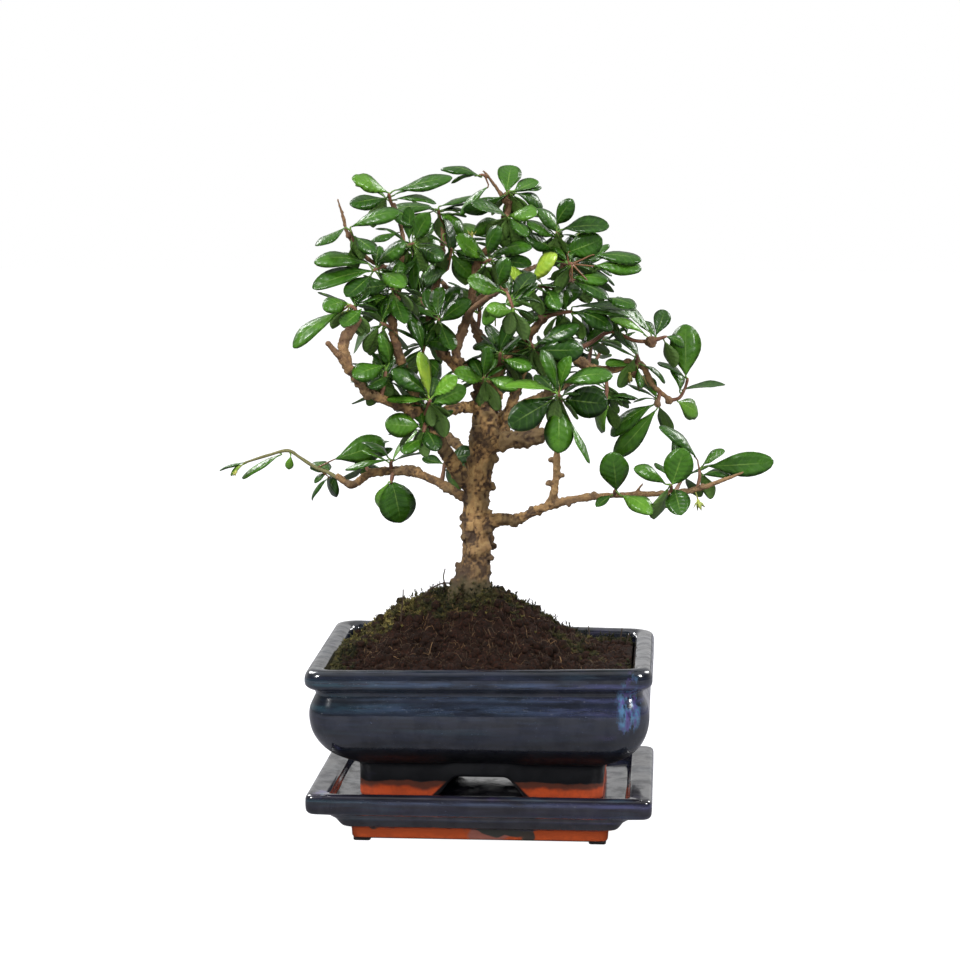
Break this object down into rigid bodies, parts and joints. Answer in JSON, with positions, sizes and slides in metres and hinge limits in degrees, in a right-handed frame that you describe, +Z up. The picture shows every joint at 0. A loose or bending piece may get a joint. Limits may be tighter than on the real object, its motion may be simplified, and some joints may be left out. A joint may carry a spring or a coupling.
{
  "type": "fukien tea bonsai in a glazed pot",
  "caption": "Small Fukien tea bonsai with glossy leaves, standing in a glazed rectangular pot on its saucer.",
  "frame": {"origin": "on the ground under the middle of the outline, a few millimetres from the middle of the pot", "axes": "+Z up along the trunk, +X along the long side of the pot, the front of the tree towards -Y"},
  "size_m": [0.252, 0.1538, 0.2935],
  "materials": {
    "pot_glaze": "glossy dark blue glaze",
    "saucer_glaze": "glossy dark blue glaze",
    "soil": "crumbly peat with moss",
    "bark": "rough tan bark",
    "leaf": "glossy dark green leaf"
  },
  "bodies": {
    "root": {"pot": "pot_glaze", "saucer": "saucer_glaze", "soil": "soil", "spray_back_crown": "leaf", "spray_back_crown_inner": "leaf", "spray_back_left_end": "leaf", "spray_back_left_middle": "leaf", "spray_back_right_end": "leaf", "spray_back_right_middle": "leaf", "spray_back_upper_end": "leaf", "spray_back_upper_middle": "leaf", "spray_behind_heart": "leaf", "spray_behind_leader": "leaf", "spray_behind_low_left": "leaf", "spray_behind_low_right": "leaf", "spray_behind_right_limb": "leaf", "spray_behind_riser": "leaf", "spray_behind_upright": "leaf", "spray_bright_tip": "leaf", "spray_callus_low": "leaf", "spray_crown_left_tip": "leaf", "spray_crown_middle": "leaf", "spray_crown_tip": "leaf", "spray_heart_high": "leaf", "spray_heart_low": "leaf", "spray_leader_front": "leaf", "spray_leader_spur": "leaf", "spray_left_elbow": "leaf", "spray_left_end": "leaf", "spray_left_inner_spur": "leaf", "spray_left_limb_spur": "leaf", "spray_left_rosette": "leaf", "spray_left_shelf": "leaf", "spray_left_top_shelf": "leaf", "spray_left_top_under": "leaf", "spray_long_limb_end": "leaf", "spray_long_limb_inner": "leaf", "spray_long_limb_middle": "leaf", "spray_low_left_hanging": "leaf", "spray_low_left_inner": "leaf", "spray_low_left_mid": "leaf", "spray_low_left_shoot": "leaf", "spray_right_bend": "leaf", "spray_right_drop": "leaf", "spray_right_hero": "leaf", "spray_right_leader_spur": "leaf", "spray_right_low_node": "leaf", "spray_right_reach": "leaf", "spray_right_shelf": "leaf", "spray_right_top": "leaf", "spray_riser_top": "leaf", "spray_shoot_rosette": "leaf", "spray_top_left": "leaf", "spray_twig_middle": "leaf", "spray_upright_spur": "leaf", "spray_upright_tip": "leaf", "spray_upright_top": "leaf", "trunk_and_branches": "bark"}
  },
  "joints": []
}
